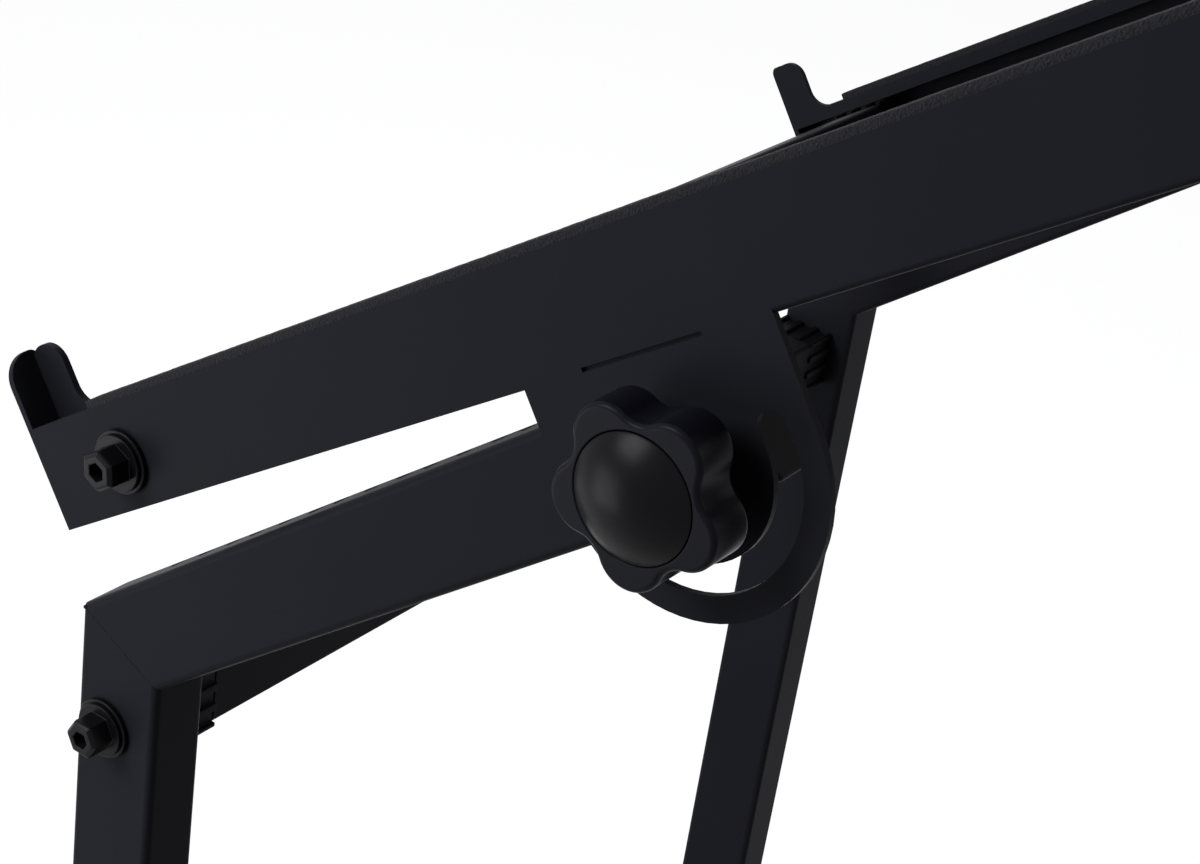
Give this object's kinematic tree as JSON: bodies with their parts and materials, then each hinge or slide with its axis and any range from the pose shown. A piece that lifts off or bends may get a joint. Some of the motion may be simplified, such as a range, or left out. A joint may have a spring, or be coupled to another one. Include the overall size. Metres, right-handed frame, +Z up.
{
  "type": "rolling rack mount stand",
  "caption": "Rolling rack stand: drilled upright and sloping rails on a caster base, with a tilting top platform of hooked sheet arms clamped by star knobs.",
  "frame": {"origin": "on the floor, under the middle of the whole stand seen from above", "axes": "+Z up, +Y towards the rear, away from the user, +X towards the user's right"},
  "size_m": [0.576, 0.556, 1.1118],
  "materials": {
    "black_powder_coat": "satin black powder coat",
    "black_hardware": "black oxide",
    "zinc_steel": "zinc plated",
    "black_plastic": "moulded",
    "knob_plastic": "moulded satin",
    "gloss_black_plastic": "polished",
    "pad_foam": "foam rubber",
    "tyre_rubber": "smooth rubber"
  },
  "bodies": {
    "frame": {"post_rail_right": "black_powder_coat", "post_rail_left": "black_powder_coat", "slant_rail_right": "black_powder_coat", "slant_rail_left": "black_powder_coat", "slant_caps": "black_plastic", "foot_rail_right": "black_powder_coat", "foot_rail_left": "black_powder_coat", "foot_caps": "black_plastic", "post_gussets": "black_powder_coat", "front_top_crossbar": "black_powder_coat", "front_top_crossbar_sockets": "black_plastic", "front_foot_crossbar": "black_powder_coat", "front_foot_crossbar_sockets": "black_plastic", "rear_foot_crossbar": "black_powder_coat", "rear_foot_crossbar_sockets": "black_plastic", "frame_bolts": "black_hardware", "frame_bolt_washers": "black_hardware", "pivot_bolts": "zinc_steel", "friction_washers": "zinc_steel", "clamp_washers": "black_hardware", "guide_bolts": "zinc_steel", "front_caster_top_right": "zinc_steel", "front_caster_top_left": "zinc_steel", "rear_caster_top_right": "zinc_steel", "rear_caster_top_left": "zinc_steel"},
    "platform": {"platform_arm_right": "black_powder_coat", "platform_arm_left": "black_powder_coat", "arm_pads": "pad_foam", "platform_front_crossbar": "black_powder_coat", "platform_front_crossbar_sockets": "black_plastic", "platform_rear_crossbar": "black_powder_coat", "platform_rear_crossbar_sockets": "black_plastic", "platform_bolts": "black_hardware", "platform_bolt_washers": "black_hardware"},
    "knob_right": {"clamp_knob_right": "knob_plastic", "knob_dome_right": "gloss_black_plastic"},
    "knob_left": {"clamp_knob_left": "knob_plastic", "knob_dome_left": "gloss_black_plastic"},
    "front_right_fork": {"front_caster_fork_right": "zinc_steel", "front_caster_axle_right": "zinc_steel"},
    "front_right_wheel": {"front_wheel_tyre_right": "tyre_rubber", "front_wheel_hub_right": "black_plastic"},
    "front_left_fork": {"front_caster_fork_left": "zinc_steel", "front_caster_axle_left": "zinc_steel"},
    "front_left_wheel": {"front_wheel_tyre_left": "tyre_rubber", "front_wheel_hub_left": "black_plastic"},
    "rear_right_fork": {"rear_caster_fork_right": "zinc_steel", "rear_caster_axle_right": "zinc_steel"},
    "rear_right_wheel": {"rear_wheel_tyre_right": "tyre_rubber", "rear_wheel_hub_right": "black_plastic"},
    "rear_left_fork": {"rear_caster_fork_left": "zinc_steel", "rear_caster_axle_left": "zinc_steel"},
    "rear_left_wheel": {"rear_wheel_tyre_left": "tyre_rubber", "rear_wheel_hub_left": "black_plastic"}
  },
  "joints": [
    {"name": "platform_tilt", "type": "hinge", "parent": "frame", "child": "platform", "pos_m": [0, 0.06986, 0.90176], "axis": [1, 0, 0], "range_deg": [-35, 3.5]},
    {"name": "clamp_knob_right_turn", "type": "hinge", "parent": "frame", "child": "knob_right", "pos_m": [0.2687, 0.06986, 0.90176], "axis": [1, 0, 0], "continuous": true},
    {"name": "clamp_knob_left_turn", "type": "hinge", "parent": "frame", "child": "knob_left", "pos_m": [-0.2687, 0.06986, 0.90176], "axis": [1, 0, 0], "continuous": true},
    {"name": "front_right_swivel", "type": "hinge", "parent": "frame", "child": "front_right_fork", "pos_m": [0.2375, -0.225, 0.056], "axis": [0, 0, 1], "continuous": true},
    {"name": "front_right_roll", "type": "hinge", "parent": "front_right_fork", "child": "front_right_wheel", "pos_m": [0.2375, -0.207, 0.025], "axis": [1, 0, 0], "continuous": true},
    {"name": "front_left_swivel", "type": "hinge", "parent": "frame", "child": "front_left_fork", "pos_m": [-0.2375, -0.225, 0.056], "axis": [0, 0, 1], "continuous": true},
    {"name": "front_left_roll", "type": "hinge", "parent": "front_left_fork", "child": "front_left_wheel", "pos_m": [-0.2375, -0.207, 0.025], "axis": [1, 0, 0], "continuous": true},
    {"name": "rear_right_swivel", "type": "hinge", "parent": "frame", "child": "rear_right_fork", "pos_m": [0.2375, 0.225, 0.056], "axis": [0, 0, 1], "continuous": true},
    {"name": "rear_right_roll", "type": "hinge", "parent": "rear_right_fork", "child": "rear_right_wheel", "pos_m": [0.2375, 0.243, 0.025], "axis": [1, 0, 0], "continuous": true},
    {"name": "rear_left_swivel", "type": "hinge", "parent": "frame", "child": "rear_left_fork", "pos_m": [-0.2375, 0.225, 0.056], "axis": [0, 0, 1], "continuous": true},
    {"name": "rear_left_roll", "type": "hinge", "parent": "rear_left_fork", "child": "rear_left_wheel", "pos_m": [-0.2375, 0.243, 0.025], "axis": [1, 0, 0], "continuous": true}
  ]
}
